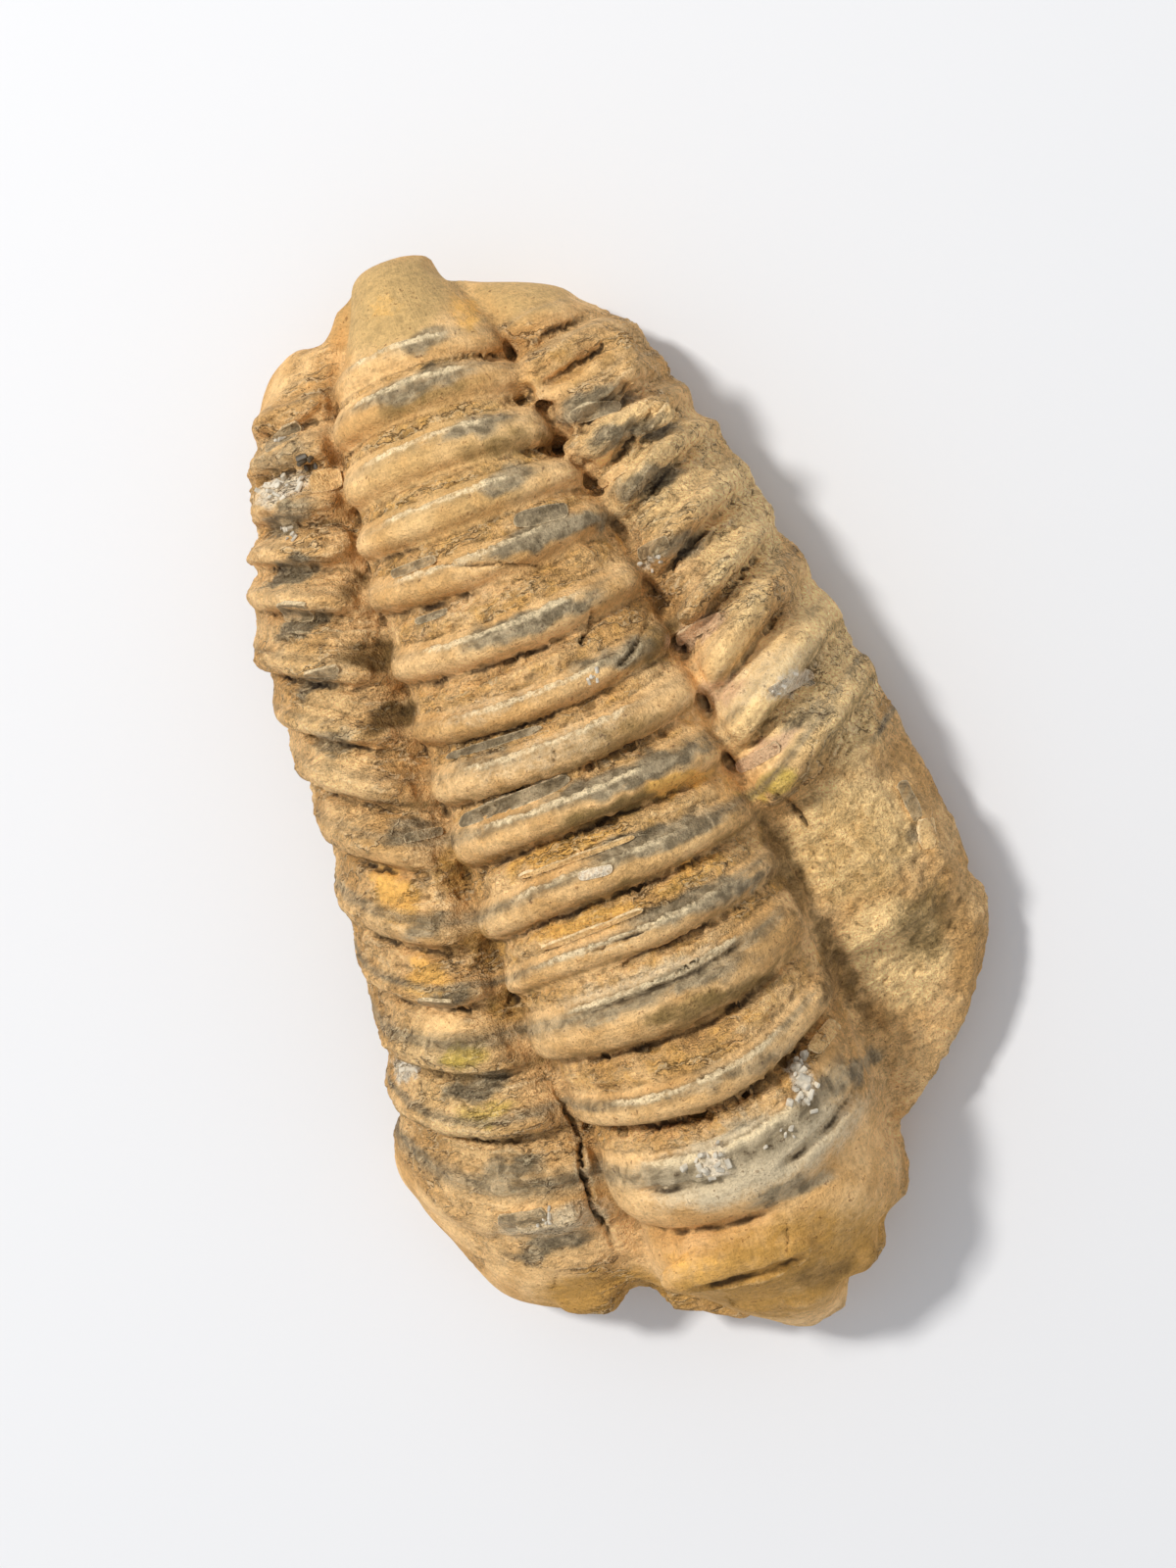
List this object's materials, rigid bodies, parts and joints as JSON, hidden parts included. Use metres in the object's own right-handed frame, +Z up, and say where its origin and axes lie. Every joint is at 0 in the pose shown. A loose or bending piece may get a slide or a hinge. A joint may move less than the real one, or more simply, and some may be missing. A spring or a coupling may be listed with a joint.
{
  "type": "fossil trilobite",
  "caption": "Loose trilobite fossil in brown stone, lying belly down: a ringed middle lobe between two ribbed side lobes, with a broken hollow beside the head.",
  "frame": {"origin": "on the flat belly face that the stone rests on, below the middle of the back", "axes": "+Z up out of the back, +Y towards the tail, +X towards the animal's left side"},
  "size_m": [0.0476, 0.081, 0.0255],
  "materials": {
    "fossil_stone": "weathered, matt, ochre and tan with blue-grey ring tops and dark crevices"
  },
  "bodies": {
    "root": {"trilobite": "fossil_stone"}
  },
  "joints": []
}
